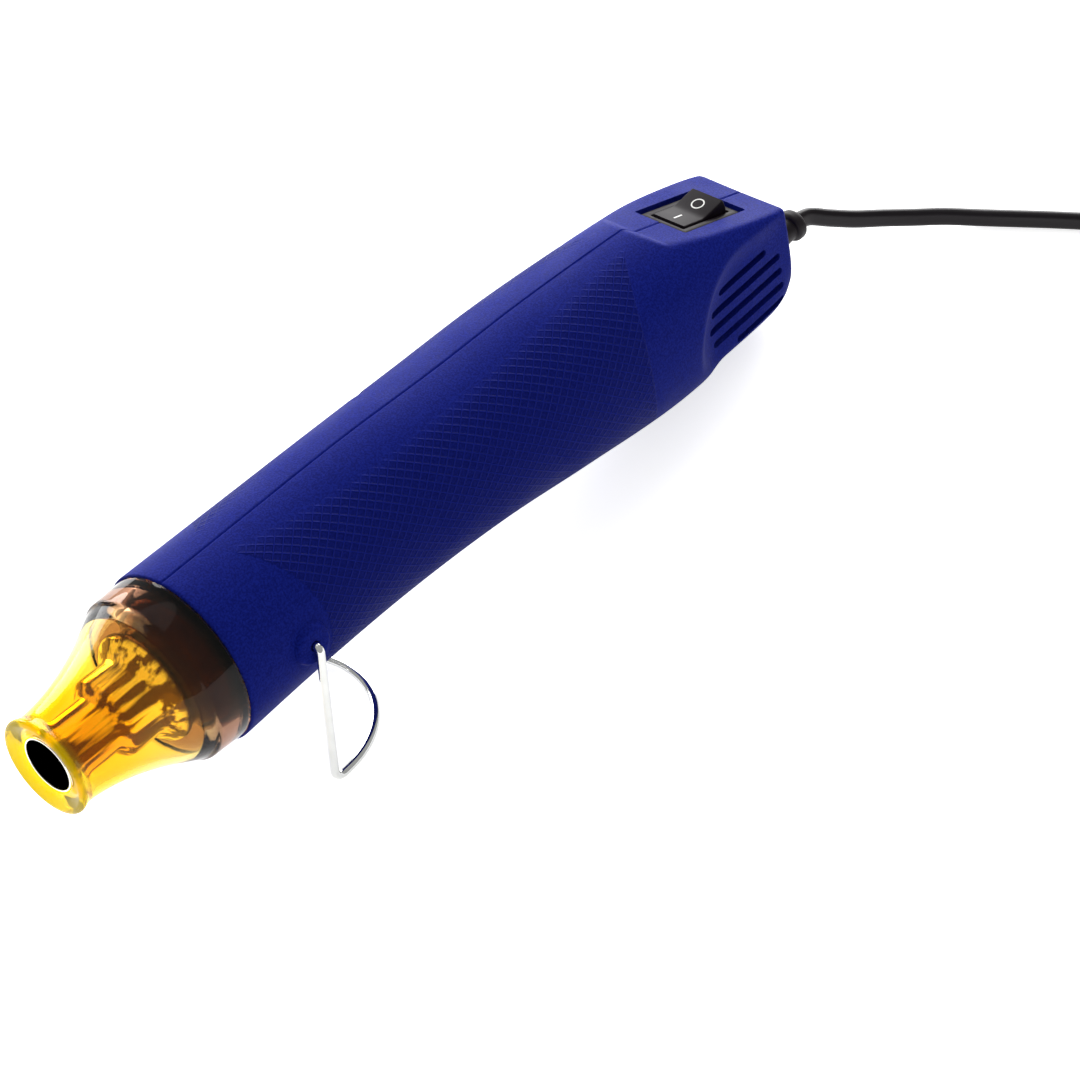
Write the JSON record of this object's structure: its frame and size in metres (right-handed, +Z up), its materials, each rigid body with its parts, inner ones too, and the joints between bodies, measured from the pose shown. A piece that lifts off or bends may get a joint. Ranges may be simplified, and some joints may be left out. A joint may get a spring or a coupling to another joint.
{
  "type": "embossing heat tool",
  "caption": "Pen-grip embossing heat tool: amber nozzle shroud, blue two-shell housing with tail vents, rocker switch, folding wire bail and mains lead.",
  "frame": {"origin": "centre of the bounding box's underside, on the table, measured without the lead and the plug", "axes": "+X runs rearward from the nozzle to the lead, +Y to the side that the screws are driven from, +Z up from the table"},
  "size_m": [0.4001, 0.1339, 0.0627],
  "materials": {
    "housing_blue": "fine moulded grain, deep blue",
    "shroud_amber": "clear amber plastic, polished",
    "nozzle_steel": "bright pressed steel, heat-tinted",
    "sleeve_steel": "dull rolled steel",
    "mica": "layered mica sheet",
    "resistance_wire": "oxidised resistance wire",
    "ceramic_white": "glazed ceramic",
    "fan_plastic": "moulded, ivory",
    "shaft_steel": "ground",
    "motor_steel": "zinc plated",
    "black_plastic": "moulded",
    "board_green": "laminate",
    "wire_red": "insulation",
    "wire_blue": "insulation",
    "switch_black": "fine satin",
    "terminal_brass": "stamped",
    "bail_chrome": "bright plated wire",
    "rubber_black": "moulded rubber",
    "lead_black": "flat flexible lead, satin",
    "tie_white": "paper strap",
    "plug_black": "moulded",
    "pin_nickel": "nickel plated",
    "screw_steel": "zinc plated"
  },
  "bodies": {
    "tool": {"housing_near": "housing_blue", "housing_far": "housing_blue", "housing_screws": "screw_steel", "nozzle_shroud": "shroud_amber", "steel_nozzle": "nozzle_steel", "heater_sleeve": "sleeve_steel", "mica_plate_upright": "mica", "mica_plate_level": "mica", "heating_coil": "resistance_wire", "thermal_fuse": "ceramic_white", "heater_disc": "mica", "motor_can": "motor_steel", "motor_end_cap": "black_plastic", "motor_bracket": "black_plastic", "rectifier_board": "board_green", "rectifier_diodes": "black_plastic", "heater_wires": "wire_red", "switch_wires": "wire_blue", "switch_body": "switch_black", "switch_terminals": "terminal_brass", "strain_relief": "rubber_black", "lead_run": "lead_black", "lead_coil": "lead_black", "lead_end": "lead_black", "coil_tie": "tie_white", "plug_body": "plug_black", "plug_pins": "pin_nickel"},
    "bail": {"bail": "bail_chrome"},
    "rocker": {"switch_rocker": "switch_black"},
    "rotor": {"fan": "fan_plastic", "motor_shaft": "shaft_steel"}
  },
  "joints": [
    {"name": "bail_fold", "type": "hinge", "parent": "tool", "child": "bail", "pos_m": [-0.06622, 0, 0.03884], "axis": [0, 1, 0], "range_deg": [-24, 95]},
    {"name": "rocker_tilt", "type": "hinge", "parent": "tool", "child": "rocker", "pos_m": [0.09458, 0, 0.03967], "axis": [0, 1, 0], "range_deg": [0, 24]},
    {"name": "rotor_spin", "type": "hinge", "parent": "tool", "child": "rotor", "pos_m": [0.0133, 0, 0.03523], "axis": [0.999, 0, -0.0454], "continuous": true}
  ]
}
